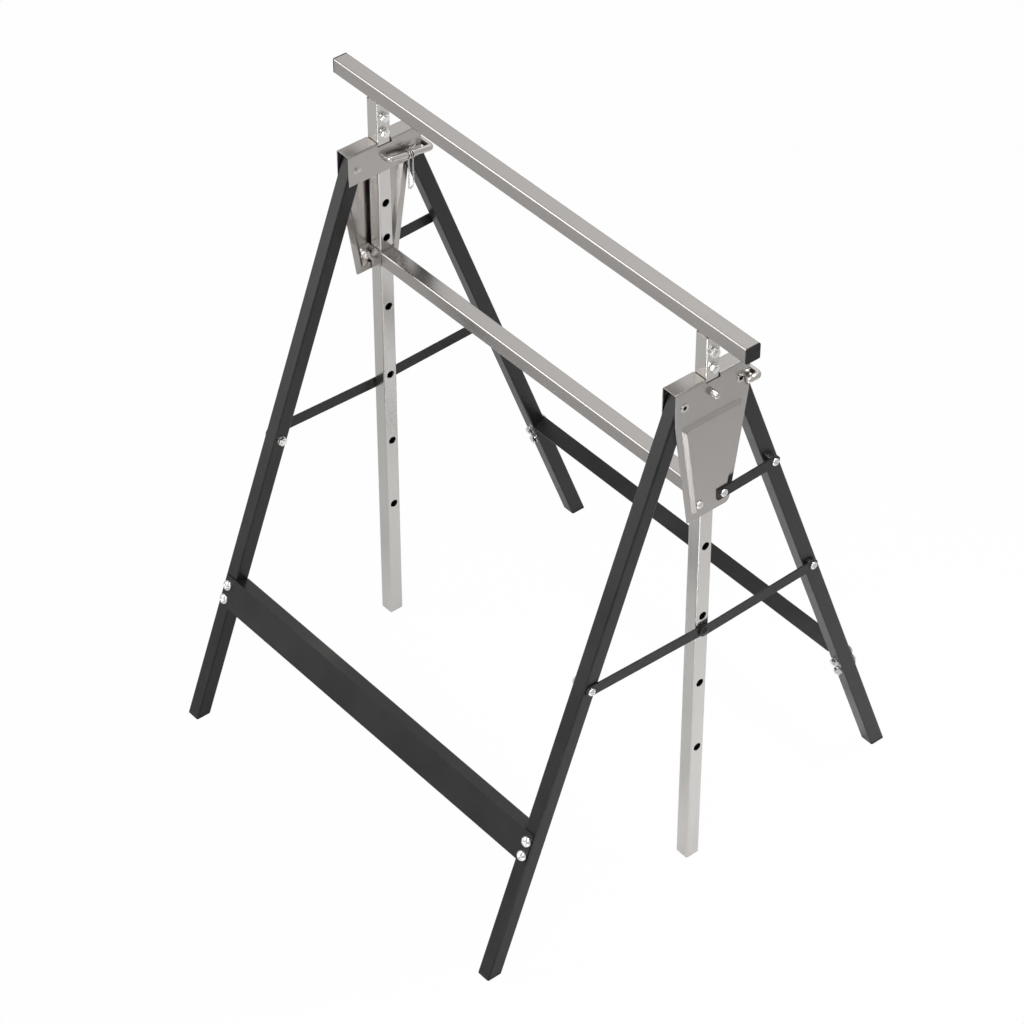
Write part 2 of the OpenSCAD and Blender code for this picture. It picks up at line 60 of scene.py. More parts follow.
# Legs: the rear pivot, the foot's distance from the middle, and the lean that follows
PIVOT = Vector((0, 0.040, 0.702))
FOOT_Y = 0.3025
TILT = math.atan2(FOOT_Y - PIVOT.y, PIVOT.z)

# Heads: how far the plate and its raised panel stand out from the post's middle, and the panel's lower edge
PLATE_OUT = 0.0108
PANEL_OUT = 0.0148
PANEL_LOW = 0.545

# The lower edge of the panel is raised by this, and points within these distances belong to it
BEVEL_RAISED = 0.0035
FACE_BAND = 0.0015
EDGE_BAND = 0.001

# Thickness of the bars, of the boards' sheet and of what the lower bolts of the heads hold
BAR_T = 0.002
BOARD_T = 0.0015
RAIL_GRIP = 0.0022

# Bolts: distances up the leg, heights, and (distance from the middle, height)
BOARD_BOLTS = (0.1857, 0.1667)
POST_BOLTS = (0.757, 0.736)
SPREADER_Z = 0.367
STRUT_Z = 0.561
RAIL_BOLT = (0.017, 0.558)

# Turn of the first fastener on a body about its axis, and what each next one adds to it, in radians
FIRST_TURN = 0.4
NEXT_TURN = 1.9

# Locking pins: the slope at which each hangs, its handle's distance from the plate, and the rings on it
SLOPE = {1: math.radians(3), -1: math.radians(9)}
STAND_OFF = 0.008
RINGS_AT = 0.029
RING_WIRE = 0.0016
RING_HOLE = 0.0043
RING_PITCH = 0.003
RING_TURNS = 3
RING_STEPS = 96

# Chains: half the width, the depth below the pivot, the place beneath the pivot's inner head, and the points
# of the lower bend
CHAIN_HALF = 0.0012
CHAIN_DROP = 0.056
CHAIN_INSET = 0.001
PIVOT_HEAD = 0.006
BEND_STEP = math.radians(20)
BEND_POINTS = 10

# Softened edges: the bevel's width on each kind of piece
TUBE_EDGE = 0.0005
POST_EDGE = 0.0004
LEG_EDGE = 0.0004
BOARD_EDGE = 0.0007
CAP_EDGE = 0.0006
FOOT_EDGE = 0.0005
HEAD_EDGE = 0.00025
BRACKET_EDGE = 0.0003
BAR_EDGE = 0.0003
TURNED_EDGE = 0.0002

# Meshes of the solids: points this near are joined, and edges flatter than this are taken away
SAME_POINT = 1e-6
FLAT_ANGLE = math.radians(0.6)

# Edges sharper than this are softened, and large faces keep their own shading by this weight
SHARP_ANGLE = math.radians(32)
FACE_WEIGHT = 60

# Depth of the grain on metal and of the peel on paint and plastic
GRAIN_DEPTH = 0.0001
PEEL_DEPTH = 0.0003

# Floor: half its side, its colour, the share of white that is its own, and that white
FLOOR_HALF = 12
FLOOR_PALE = (0.60, 0.60, 0.60, 1)
FLOOR_WHITE = 0.98
WHITE = (1, 1, 1, 1)

# Camera: its place, its roll, the sensor's width in millimetres and how far it sees
EYE = (2.593943, -2.187683, 3.259695)
EYE_ROLL = math.radians(0.0633)
SENSOR = 36
FAR = 50

# Lamps: name, place, point lit, diameter, spread in degrees and share of the key lamp's strength
LAMPS = (
    ("key", (1.3, -2.2, 2.2), (0, 0, 0.45), 1.3, 180, 1.0),
    ("top", (-1.15, 1.75, 2.9), (0, 0, 0.45), 3.2, 180, 0.54),
    ("edge", (-1.75, -1.95, 2.15), (0, 0, 0.6), 1.4, 180, 0.75),
    ("left", (-1.9, -2.5, 0.8), (0, 0, 0.4), 1.6, 120, 0.45),
    ("front pool", (0.72, -0.78, 1.25), (0.72, -0.78, 0), 0.4, 50, 0.42),
    ("rear pool", (0.38, 0.4, 2.2), (0.38, 0.4, 0), 0.6, 52, 0.17),
    ("right base", (0.9, -0.7, 1.6), (0.36, 0.05, 0), 0.4, 30, 0.03),
    ("left base", (0.35, -0.7, 1.6), (-0.22, 0.05, 0), 0.4, 30, 0.02),
)

# Each node's body, from the record
BODY_OF = {n: b for b, names in frame["record"]["behaviour"]["bodies"].items() for n in names}


# Properties

class TrestleFinish(bpy.types.PropertyGroup):
    """Colours and surface sizes of the finishes"""
    steel: bpy.props.FloatVectorProperty(
        name="Steel", description="Colour of the beam, heads and rail", subtype="COLOR",
        size=3, default=(0.42, 0.40, 0.384), min=0, max=1)
    post: bpy.props.FloatVectorProperty(
        name="Posts", description="Colour of the telescopic posts", subtype="COLOR",
        size=3, default=(0.585, 0.567, 0.549), min=0, max=1)
    paint: bpy.props.FloatVectorProperty(
        name="Black paint", description="Colour of the legs, boards and bars", subtype="COLOR",
        size=3, default=(0.0095, 0.0092, 0.0092), min=0, max=1)
    plastic: bpy.props.FloatVectorProperty(
        name="Plugs", description="Colour of the end caps and foot plugs", subtype="COLOR",
        size=3, default=(0.011, 0.011, 0.012), min=0, max=1)
    bolts: bpy.props.FloatVectorProperty(
        name="Fasteners", description="Colour of the bright bolts and nuts", subtype="COLOR",
        size=3, default=(0.80, 0.79, 0.78), min=0, max=1)
    rod: bpy.props.FloatVectorProperty(
        name="Pins", description="Colour of the locking pins and chains", subtype="COLOR",
        size=3, default=(0.58, 0.555, 0.53), min=0, max=1)
    edge: bpy.props.FloatProperty(
        name="Edge radius", description="Softening of an edge that has no width of its own",
        default=0.00035, min=0.00005, max=0.001, unit="LENGTH")


class TrestleFasteners(bpy.types.PropertyGroup):
    """Sizes of the bolts, nuts and chain links"""
    head: bpy.props.FloatProperty(
        name="Head diameter", description="Diameter of the small domed heads",
        default=0.010, min=0.006, max=0.014, unit="LENGTH")
    large_head: bpy.props.FloatProperty(
        name="Large head diameter", description="Diameter of the domed heads on the boards",
        default=0.0135, min=0.008, max=0.016, unit="LENGTH")
    dome: bpy.props.FloatProperty(
        name="Head height", description="Height of the domed heads",
        default=0.0034, min=0.002, max=0.004, unit="LENGTH")
    link_pitch: bpy.props.FloatProperty(
        name="Link pitch", description="Distance from one chain link to the next",
        default=0.0031, min=0.002, max=0.006, unit="LENGTH")
    link_wire: bpy.props.FloatProperty(
        name="Link wire", description="Diameter of the chain's wire",
        default=0.0007, min=0.0004, max=0.001, unit="LENGTH")


class TrestleStage(bpy.types.PropertyGroup):
    """Camera and light"""
    azimuth: bpy.props.FloatProperty(
        name="Azimuth", description="Direction of view, turned from the front towards the right end",
        default=math.radians(50.26426), subtype="ANGLE")
    elevation: bpy.props.FloatProperty(
        name="Elevation", description="Height of the view above the horizon",
        default=math.radians(40.67933), subtype="ANGLE")
    lens: bpy.props.FloatProperty(
        name="Lens", description="Focal length on a 36 mm sensor, in millimetres",
        default=134.894, min=20, max=400)
    key: bpy.props.FloatProperty(
        name="Key lamp", description="Strength of the large lamp, in watts", default=20, min=0, max=500)
    fill: bpy.props.FloatProperty(
        name="Sky", description="Strength of the even light from all round", default=0.44, min=0, max=2)
    mirrored: bpy.props.FloatProperty(
        name="White in metal", description="Share of the white background that reflections show",
        default=0.35, min=0, max=1)


# Node helpers

def put(tree, kind, **values):
    """Adds a node and sets its settings, or its inputs where a name is one."""
    n = tree.nodes.new(kind)
    for key, value in values.items():
        if hasattr(n, key) and key not in n.inputs:
            setattr(n, key, value)
        else:
            n.inputs[key].default_value = value
    return n


def join(tree, a, out, b, into):
    """Links one node's output to another's input."""
    return tree.links.new(a.outputs[out], b.inputs[into])


def sockets(tree, takes, gives):
    """Names a group's inputs, with their defaults, and its outputs."""
    for name, kind, value in takes:
        s = tree.interface.new_socket(name, in_out="INPUT", socket_type=kind)
        if value is not None:
            s.default_value = value
    for name, kind in gives:
        tree.interface.new_socket(name, in_out="OUTPUT", socket_type=kind)


def white_rays(tree, mirrored):
    """A node that gives 1 to rays that see the background itself, and mirrored to reflected ones."""
    ray = put(tree, "ShaderNodeLightPath")
    seen = put(tree, "ShaderNodeMath", operation="MAXIMUM")
    join(tree, ray, "Is Camera Ray", seen, 0)
    join(tree, ray, "Is Transmission Ray", seen, 1)
    glossy = put(tree, "ShaderNodeMath", operation="MULTIPLY")
    join(tree, ray, "Is Glossy Ray", glossy, 0)
    glossy.inputs[1].default_value = mirrored
    every = put(tree, "ShaderNodeMath", operation="MAXIMUM")
    join(tree, seen, 0, every, 0)
    join(tree, glossy, 0, every, 1)
    return every


# Shader groups

def brushed_group():
    """Fine lines along one axis: a tint, a roughness mask and a height."""
    g = bpy.data.node_groups.new("brushed grain", "ShaderNodeTree")
    sockets(g, [("Along", "NodeSocketVector", (4.0, 900.0, 900.0)),
                ("Tint", "NodeSocketColor", (0.6, 0.6, 0.6, 1)),
                ("Variation", "NodeSocketFloat", 0.10),
                ("Base Roughness", "NodeSocketFloat", 0.36),
                ("Roughness Swing", "NodeSocketFloat", 0.08)],
            [("Color", "NodeSocketColor"), ("Roughness", "NodeSocketFloat"), ("Height", "NodeSocketFloat")])
    i, o = put(g, "NodeGroupInput"), put(g, "NodeGroupOutput")
    at = put(g, "ShaderNodeTexCoord")
    stretch = put(g, "ShaderNodeVectorMath", operation="MULTIPLY")
    join(g, at, "Object", stretch, 0)
    join(g, i, "Along", stretch, 1)
    lines = put(g, "ShaderNodeTexNoise", Scale=1.0, Detail=2.0, Roughness=0.5)
    join(g, stretch, "Vector", lines, "Vector")
    cloud = put(g, "ShaderNodeTexNoise", Scale=17.0, Detail=3.0, Roughness=0.55)
    join(g, at, "Object", cloud, "Vector")
    both = put(g, "ShaderNodeMath", operation="ADD")
    join(g, lines, "Fac", both, 0)
    join(g, cloud, "Fac", both, 1)
    # Two noises of mean one half add up to a mean of 1, which is taken off and later put back
    centred = put(g, "ShaderNodeMath", operation="SUBTRACT")
    join(g, both, 0, centred, 0)
    centred.inputs[1].default_value = 1.0
    amount = put(g, "ShaderNodeMath", operation="MULTIPLY_ADD")
    join(g, centred, 0, amount, 0)
    join(g, i, "Variation", amount, 1)
    amount.inputs[2].default_value = 1.0
    colour = put(g, "ShaderNodeVectorMath", operation="SCALE")
    join(g, i, "Tint", colour, 0)
    join(g, amount, 0, colour, "Scale")
    join(g, colour, "Vector", o, "Color")
    rough = put(g, "ShaderNodeMath", operation="MULTIPLY_ADD", use_clamp=True)
    join(g, centred, 0, rough, 0)
    join(g, i, "Roughness Swing", rough, 1)
    join(g, i, "Base Roughness", rough, 2)
    join(g, rough, 0, o, "Roughness")
    join(g, lines, "Fac", o, "Height")
    return g


# A mix node's colour sockets share their names with its number sockets, so they go by place
COLOUR_A = 6
COLOUR_B = 7
COLOUR_OUT = 2


def handled_group():
    """Soft patches of handling and site dust on paint and plastic: a tint, a roughness and a height."""
    g = bpy.data.node_groups.new("handled coat", "ShaderNodeTree")
    sockets(g, [("Tint", "NodeSocketColor", (0.03, 0.03, 0.03, 1)),
                ("Dust", "NodeSocketColor", (0.16, 0.15, 0.145, 1)),
                ("Dust Amount", "NodeSocketFloat", 0.10),
                ("Dust From", "NodeSocketFloat", 0.42),
                ("Dust To", "NodeSocketFloat", 0.78),
                ("Dust Roughness", "NodeSocketFloat", 0.10),
                ("Base Roughness", "NodeSocketFloat", 0.34),
                ("Peel Scale", "NodeSocketFloat", 900.0)],
            [("Color", "NodeSocketColor"), ("Roughness", "NodeSocketFloat"), ("Height", "NodeSocketFloat")])
    i, o = put(g, "NodeGroupInput"), put(g, "NodeGroupOutput")
    at = put(g, "ShaderNodeTexCoord")
    patch = put(g, "ShaderNodeTexNoise", Scale=14.0, Detail=6.0, Roughness=0.6)
    join(g, at, "Object", patch, "Vector")
    mask = put(g, "ShaderNodeMapRange")
    join(g, i, "Dust From", mask, "From Min")
    join(g, i, "Dust To", mask, "From Max")
    join(g, patch, "Fac", mask, "Value")
    share = put(g, "ShaderNodeMath", operation="MULTIPLY")
    join(g, mask, "Result", share, 0)
    join(g, i, "Dust Amount", share, 1)
    mix = put(g, "ShaderNodeMix", data_type="RGBA")
    join(g, share, 0, mix, "Factor")
    join(g, i, "Tint", mix, COLOUR_A)
    join(g, i, "Dust", mix, COLOUR_B)
    join(g, mix, COLOUR_OUT, o, "Color")
    rough = put(g, "ShaderNodeMath", operation="MULTIPLY_ADD", use_clamp=True)
    join(g, mask, "Result", rough, 0)
    join(g, i, "Dust Roughness", rough, 1)
    join(g, i, "Base Roughness", rough, 2)
    join(g, rough, 0, o, "Roughness")
    peel = put(g, "ShaderNodeTexNoise", Detail=2.0, Roughness=0.5)
    join(g, at, "Object", peel, "Vector")
    join(g, i, "Peel Scale", peel, "Scale")
    join(g, peel, "Fac", o, "Height")
    return g


# Materials

def group_material(name, group, values, metallic, bump, depth, specular=0.5):
    """A Principled material whose colour, roughness and bump come from a shader group."""
    m = bpy.data.materials.new(name)
    m.use_nodes = True
    t = m.node_tree
    p = t.nodes["Principled BSDF"]
    g = put(t, "ShaderNodeGroup", node_tree=group)
    for key, value in values.items():
        g.inputs[key].default_value = value
    p.inputs["Metallic"].default_value = metallic
    p.inputs["Specular IOR Level"].default_value = specular
    join(t, g, "Color", p, "Base Color")
    join(t, g, "Roughness", p, "Roughness")
    b = put(t, "ShaderNodeBump", Strength=bump, Distance=depth)
    join(t, g, "Height", b, "Height")
    join(t, b, "Normal", p, "Normal")
    return m


def metal(name, group, tint, along, variation, roughness, bump):
    """A metal. along is the grain's scale on each axis, and a small one draws the grain out that way."""
    values = {"Along": along, "Tint": (*tint, 1), "Variation": variation, "Base Roughness": roughness}
    return group_material(name, group, values, 1, bump, GRAIN_DEPTH)


def coated(name, group, tint, dust, roughness, peel, bump, specular):
    """A paint or plastic with a fine peel and a little dust."""
    values = {"Tint": (*tint, 1), "Dust Amount": dust, "Base Roughness": roughness, "Peel Scale": peel}
    return group_material(name, group, values, 0, bump, PEEL_DEPTH, specular)


def make_materials():
    """One material for each finish, kept by name."""
    c = bpy.context.scene.trestle_finish
    grain = brushed_group()
    coat = handled_group()
    metal("steel brushed lengthwise", grain, c.steel, along=(2.5, 190.0, 190.0),
          variation=0.07, roughness=0.26, bump=0.0015)
    metal("steel pressed sheet", grain, c.steel, along=(160.0, 160.0, 4.0),
          variation=0.05, roughness=0.24, bump=0.001)
    metal("bright zinc post", grain, c.post, along=(190.0, 190.0, 2.5),
          variation=0.05, roughness=0.22, bump=0.001)
    metal("zinc rod", grain, c.rod, along=(160.0, 160.0, 160.0),
          variation=0.08, roughness=0.2, bump=0.02)
    metal("bright zinc fastener", grain, c.bolts, along=(200.0, 200.0, 200.0),
          variation=0.08, roughness=0.12, bump=0.02)
    coated("black powder coat", coat, c.paint,
           dust=0.05, roughness=0.29, peel=900.0, bump=0.08, specular=0.31)
    coated("black plug", coat, c.plastic,
           dust=0.12, roughness=0.52, peel=1500.0, bump=0.14, specular=0.3)


# Meshes

def added(name, data):
    """A new object at the origin in the scene, of a mesh, curve, lamp or camera."""
    o = bpy.data.objects.new(name, data)
    bpy.context.scene.collection.objects.link(o)
    return o


def settled(o):
    """The object's evaluated mesh in place of its modifiers."""
    o.update_tag()
    bpy.context.view_layer.update()
    deps = bpy.context.evaluated_depsgraph_get()
    mesh = bpy.data.meshes.new_from_object(o.evaluated_get(deps), depsgraph=deps)
    o.modifiers.clear()
    if o.type == "MESH":
        o.data = mesh
        return o
    name = o.name
    bpy.data.objects.remove(o)
    return added(name, mesh)


def edged(node, material, width=None, segments=2, shape=None):
    """A copy of a solid with its edges softened, which stands for it. shape may first move its points."""
    width = bpy.context.scene.trestle_finish.edge if width is None else width
    mesh = frame["nodes"][node].data.copy()
    bm = bmesh.new()
    bm.from_mesh(mesh)
    bmesh.ops.remove_doubles(bm, verts=bm.verts, dist=SAME_POINT)
    bmesh.ops.dissolve_limit(bm, angle_limit=FLAT_ANGLE, verts=bm.verts, edges=bm.edges)
    if shape:
        shape(bm)
    bm.to_mesh(mesh)
    bm.free()
    mesh.materials.clear()
    mesh.materials.append(bpy.data.materials[material])
    mesh.shade_smooth()
    o = added(node + "_finish", mesh)
    if width > 0:
        b = o.modifiers.new("soft edges", "BEVEL")
        b.width = width
        b.segments = segments
        b.limit_method = "ANGLE"
        b.angle_limit = SHARP_ANGLE
        b.use_clamp_overlap = True
        b.miter_outer = "MITER_ARC"
        w = o.modifiers.new("even shading", "WEIGHTED_NORMAL")
        w.keep_sharp = True
        w.weight = FACE_WEIGHT
        o = settled(o)
    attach(o, BODY_OF[node])
    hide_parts(node)
    return o


def revolved(name, profile, sides, shape=None):
    """A closed turned shape about Z. shape(x, y, z) may lower a point to cut a recess."""
    bm = bmesh.new()
    rings = []
    for r, z in profile:
        if r == 0:
            p = (0.0, 0.0, z)
            rings.append([bm.verts.new(shape(*p) if shape else p)])
            continue
        ring = []
        for k in range(sides):
            a = 2 * math.pi * k / sides
            p = (r * math.cos(a), r * math.sin(a), z)
            ring.append(bm.verts.new(shape(*p) if shape else p))
        rings.append(ring)
    for low, high in zip(rings, rings[1:]):
        for k in range(sides):
            j = (k + 1) % sides
            if len(low) == 1:
                bm.faces.new((low[0], high[j], high[k]))
            elif len(high) == 1:
                bm.faces.new((low[k], low[j], high[0]))
            else:
                bm.faces.new((low[k], low[j], high[j], high[k]))
    bmesh.ops.recalc_face_normals(bm, faces=bm.faces)
    mesh = bpy.data.meshes.new(name)
    bm.to_mesh(mesh)
    bm.free()
    return mesh


def head_mesh():
    """A domed bolt head with a pressed cross recess, 1 across, sitting on z = 0."""
    f = bpy.context.scene.trestle_fasteners
    high = f.dome / f.head
    # The rim: its radii under the head, outside and at the dome's foot, and its heights
    under, rim, foot = 0.485, 0.5, 0.49
    lip, shoulder, edge = 0.015, 0.06, 0.08
    # The cross: half an arm's width, its length and its depth
    arm, reach, deep = 0.055, 0.25, 0.17
    # It is cut above this share of the dome's height, and its ends slope over this share of the arm
    cut_from, slopes_over = 0.45, 0.45
    upper = high * cut_from
    ramp = reach * slopes_over
    # The flat middle, and the facets up the dome and round it
    flat, steps, sides = 0.03, 14, 48

    def recess(x, y, z):
        r = math.hypot(x, y)
        if z > upper and r < reach and min(abs(x), abs(y)) < arm:
            fall = min(1.0, (reach - r) / ramp)
            return (x, y, z - deep * fall)
        return (x, y, z)

    profile = [(0, 0), (under, 0), (rim, lip), (rim, shoulder), (foot, edge)]
    for k in range(1, steps):
        a = math.pi / 2 * k / steps
        profile.append((foot * math.cos(a), edge + (high - edge) * math.sin(a)))
    profile += [(flat, high), (0, high)]
    mesh = revolved("bolt head", profile, sides, recess)
    mesh.shade_smooth()
    return mesh


def nut_mesh():
    """A chamfered hexagon nut on its washer with the bolt's end, for a head 1 across, down from z = 0."""
    bm = bmesh.new()
    sides = 24
    # How far down the washer, the nut and the bolt's end reach
    washer, nut, end = -0.12, -0.50, -0.60
    # Radii of the hole, the washer and the bolt, and half the nut's width across its flats
    hole, outer, rod, flats = 0.30, 0.575, 0.29, 0.5
    # The washer's rounding above and below
    above, below = 0.015, 0.01
    # The heights of the nut's upper and lower chamfers
    upper_high, lower_high = 0.035, 0.05
    # How far the nut may reach at its top, between the chamfers and at its foot, as shares of the flats
    upper, corners, lower = 1.04, 1.2, 1.02
    # The nut's mouth round the bolt: its width and depth
    mouth, sunk = 0.04, 0.02
    # The thread: turns, the distance from one to the next, and the groove's depth
    turns, pitch, groove = 5, 0.02, 0.02

    def ring(points):
        return [bm.verts.new(p) for p in points]

    def circle(r, z):
        angles = [2 * math.pi * k / sides for k in range(sides)]
        return ring((r * math.cos(a), r * math.sin(a), z) for a in angles)

    def hexagon(grow, z):
        points = []
        for k in range(sides):
            a = 2 * math.pi * k / sides
            off = (a + math.pi / 6) % (math.pi / 3) - math.pi / 6
            r = min(flats / math.cos(off), flats * grow)
            points.append((r * math.cos(a), r * math.sin(a), z))
        return ring(points)

    rings = [circle(hole, 0), circle(outer - above, 0), circle(outer, -above),
             circle(outer, washer + below), circle(outer - below, washer),
             hexagon(upper, washer), hexagon(corners, washer - upper_high),
             hexagon(corners, nut + lower_high), hexagon(lower, nut),
             circle(rod + mouth, nut), circle(rod, nut + sunk)]
    for k in range(turns):
        rings.append(circle(rod - groove, nut - pitch * k))
        rings.append(circle(rod, nut - pitch / 2 - pitch * k))
    rings.append(circle(rod - 2 * groove, end))
    for a, b in zip(rings, rings[1:]):
        for k in range(sides):
            j = (k + 1) % sides
            bm.faces.new((a[k], a[j], b[j], b[k]))
    bm.faces.new(rings[0])
    bm.faces.new(list(reversed(rings[-1])))
    bmesh.ops.recalc_face_normals(bm, faces=bm.faces)
    mesh = bpy.data.meshes.new("nut")
    bm.to_mesh(mesh)
    bm.free()
    return mesh


def link_mesh():
    """One oval chain link of round wire, lying along X."""
    f = bpy.context.scene.trestle_fasteners
    wire, long = f.link_wire / 2, f.link_pitch / 2
    # Half the distance between the link's two sides, and how far within half a pitch its round ends begin
    half, inset = 0.00085, 0.0004
    bend = long - inset
    # The points of each round end, and the facets round the wire
    corners, sides = 6, 6
    up = Vector((0, 0, 1))
    bm = bmesh.new()
    centre = []
    for side in (1, -1):
        for k in range(corners):
            a = -math.pi / 2 + math.pi * k / (corners - 1)
            centre.append((side * bend + side * half * math.cos(a), side * half * math.sin(a)))
    n, rings = len(centre), []
    for k, (x, y) in enumerate(centre):
        before, after = centre[k - 1], centre[(k + 1) % n]
        t = Vector((after[0] - before[0], after[1] - before[1], 0)).normalized()
        side = Vector((t.y, -t.x, 0))
        ring = []
        for j in range(sides):
            a = 2 * math.pi / sides * j
            ring.append(bm.verts.new(Vector((x, y, 0)) + wire * (math.cos(a) * side + math.sin(a) * up)))
        rings.append(ring)
    for k in range(n):
        a, b = rings[k], rings[(k + 1) % n]
        for j in range(sides):
            m = (j + 1) % sides
            bm.faces.new((a[j], a[m], b[m], b[j]))
    bmesh.ops.recalc_face_normals(bm, faces=bm.faces)
    mesh = bpy.data.meshes.new("chain link")
    bm.to_mesh(mesh)
    bm.free()
    mesh.shade_smooth()
    return mesh


# Geometry nodes

def fasteners_tree():
    """Bolt heads and nuts on points that carry their direction, turn, grip and size."""
    t = bpy.data.node_groups.new("fasteners on points", "GeometryNodeTree")
    sockets(t, [("Geometry", "NodeSocketGeometry", None), ("Head", "NodeSocketObject", None),
                ("Nut", "NodeSocketObject", None), ("Small Head", "NodeSocketFloat", 0.010),
                ("Finish", "NodeSocketMaterial", None)], [("Geometry", "NodeSocketGeometry")])
    i, o = put(t, "NodeGroupInput"), put(t, "NodeGroupOutput")
    aim = put(t, "GeometryNodeInputNamedAttribute", data_type="FLOAT_VECTOR", Name="aim")
    grip = put(t, "GeometryNodeInputNamedAttribute", data_type="FLOAT", Name="grip")
    size = put(t, "GeometryNodeInputNamedAttribute", data_type="FLOAT", Name="size")
    turn = put(t, "GeometryNodeInputNamedAttribute", data_type="FLOAT", Name="turn")
    align = put(t, "FunctionNodeAlignRotationToVector", axis="Z")
    join(t, aim, "Attribute", align, "Vector")
    spin = put(t, "FunctionNodeAxisAngleToRotation")
    join(t, turn, "Attribute", spin, "Angle")
    both = put(t, "FunctionNodeRotateRotation", rotation_space="LOCAL")
    join(t, align, "Rotation", both, "Rotation")
    join(t, spin, "Rotation", both, "Rotate By")
    pick = {}
    for name in ("Head", "Nut"):
        pick[name] = put(t, "GeometryNodeObjectInfo")
        join(t, i, name, pick[name], "Object")
    heads = put(t, "GeometryNodeInstanceOnPoints")
    join(t, i, "Geometry", heads, "Points")
    join(t, pick["Head"], "Geometry", heads, "Instance")
    join(t, both, "Rotation", heads, "Rotation")
    join(t, size, "Attribute", heads, "Scale")
    # A nut sits behind its head by the bolt's grip, and a rivet, which has none, gets no nut
    back = put(t, "ShaderNodeVectorMath", operation="SCALE")
    less = put(t, "ShaderNodeMath", operation="MULTIPLY")
    less.inputs[1].default_value = -1.0
    join(t, grip, "Attribute", less, 0)
    join(t, aim, "Attribute", back, 0)
    join(t, less, 0, back, "Scale")
    moved = put(t, "GeometryNodeSetPosition")
    join(t, i, "Geometry", moved, "Geometry")
    join(t, back, "Vector", moved, "Offset")
    bolted = put(t, "FunctionNodeCompare", operation="GREATER_THAN")
    join(t, grip, "Attribute", bolted, 0)
    bolted.inputs[1].default_value = 0.0
    nuts = put(t, "GeometryNodeInstanceOnPoints")
    join(t, moved, "Geometry", nuts, "Points")
    join(t, bolted, "Result", nuts, "Selection")
    join(t, pick["Nut"], "Geometry", nuts, "Instance")
    join(t, both, "Rotation", nuts, "Rotation")
    join(t, i, "Small Head", nuts, "Scale")
    all_of = put(t, "GeometryNodeJoinGeometry")
    join(t, heads, "Instances", all_of, "Geometry")
    join(t, nuts, "Instances", all_of, "Geometry")
    real = put(t, "GeometryNodeRealizeInstances")
    join(t, all_of, "Geometry", real, "Geometry")
    finish = put(t, "GeometryNodeSetMaterial")
    join(t, real, "Geometry", finish, "Geometry")
    join(t, i, "Finish", finish, "Material")
    join(t, finish, "Geometry", o, "Geometry")
    return t


def chain_tree():
    """Links along a curve, every other one turned a quarter."""
    t = bpy.data.node_groups.new("links along a curve", "GeometryNodeTree")
    sockets(t, [("Geometry", "NodeSocketGeometry", None), ("Link", "NodeSocketObject", None),
                ("Pitch", "NodeSocketFloat", 0.0031), ("Finish", "NodeSocketMaterial", None)],
            [("Geometry", "NodeSocketGeometry")])
    i, o = put(t, "NodeGroupInput"), put(t, "NodeGroupOutput")
    even = put(t, "GeometryNodeResampleCurve", mode="LENGTH")
    join(t, i, "Geometry", even, "Curve")
    join(t, i, "Pitch", even, "Length")
    along = put(t, "GeometryNodeInputTangent")
    align = put(t, "FunctionNodeAlignRotationToVector", axis="X")
    join(t, along, "Tangent", align, "Vector")
    number = put(t, "GeometryNodeInputIndex")
    quarter = put(t, "ShaderNodeMath", operation="MULTIPLY")
    quarter.inputs[1].default_value = math.pi / 2
    join(t, number, "Index", quarter, 0)
    roll = put(t, "FunctionNodeAxisAngleToRotation")
    roll.inputs["Axis"].default_value = (1, 0, 0)
    join(t, quarter, 0, roll, "Angle")
    both = put(t, "FunctionNodeRotateRotation", rotation_space="LOCAL")
    join(t, align, "Rotation", both, "Rotation")
    join(t, roll, "Rotation", both, "Rotate By")
    link = put(t, "GeometryNodeObjectInfo")
    join(t, i, "Link", link, "Object")
    copies = put(t, "GeometryNodeInstanceOnPoints")
    join(t, even, "Curve", copies, "Points")
    join(t, link, "Geometry", copies, "Instance")
    join(t, both, "Rotation", copies, "Rotation")
    real = put(t, "GeometryNodeRealizeInstances")
    join(t, copies, "Instances", real, "Geometry")
    finish = put(t, "GeometryNodeSetMaterial")
    join(t, real, "Geometry", finish, "Geometry")
    join(t, i, "Finish", finish, "Material")
    join(t, finish, "Geometry", o, "Geometry")
    return t


def grown(o, tree, values):
    """Runs a tree on an object with its inputs set by their identifiers, and keeps the plain mesh."""
    m = o.modifiers.new("grow", "NODES")
    m.node_group = tree
    ids = {s.name: s.identifier for s in tree.interface.items_tree if s.in_out == "INPUT"}
    for name, value in values.items():
        m[ids[name]] = value
    return settled(o)


def hidden_part(name, mesh):
    """A small object that a tree copies, out of the render."""
    o = added(name, mesh)
    o.hide_render = True
    return o


# Operators

class TRESTLE_OT_beam(bpy.types.Operator):
    """Finish the beam, its end caps and the stubs that join it to the posts"""
    bl_idname = "trestle.beam"
    bl_label = "Beam"

    def execute(self, context):
        edged("beam", "steel brushed lengthwise", TUBE_EDGE)
        edged("beam_stubs", "steel pressed sheet")
        for side in ("right", "left"):
            edged(f"beam_cap_{side}", "black plug", CAP_EDGE, segments=3)
        return {"FINISHED"}


class TRESTLE_OT_posts(bpy.types.Operator):
    """Finish the two telescopic posts with their height holes"""
    bl_idname = "trestle.posts"
    bl_label = "Posts"

    def execute(self, context):
        for side in ("right", "left"):
            edged(f"post_{side}", "bright zinc post", POST_EDGE)
        return {"FINISHED"}


def flatter_bevel(bm):
    """Raises the lower edge of a head's panel, so that the bevel below it lies flatter."""
    for v in bm.verts:
        if abs(v.co.x) > MID_X + PANEL_OUT - FACE_BAND and v.co.z < PANEL_LOW + EDGE_BAND:
            v.co.z += BEVEL_RAISED


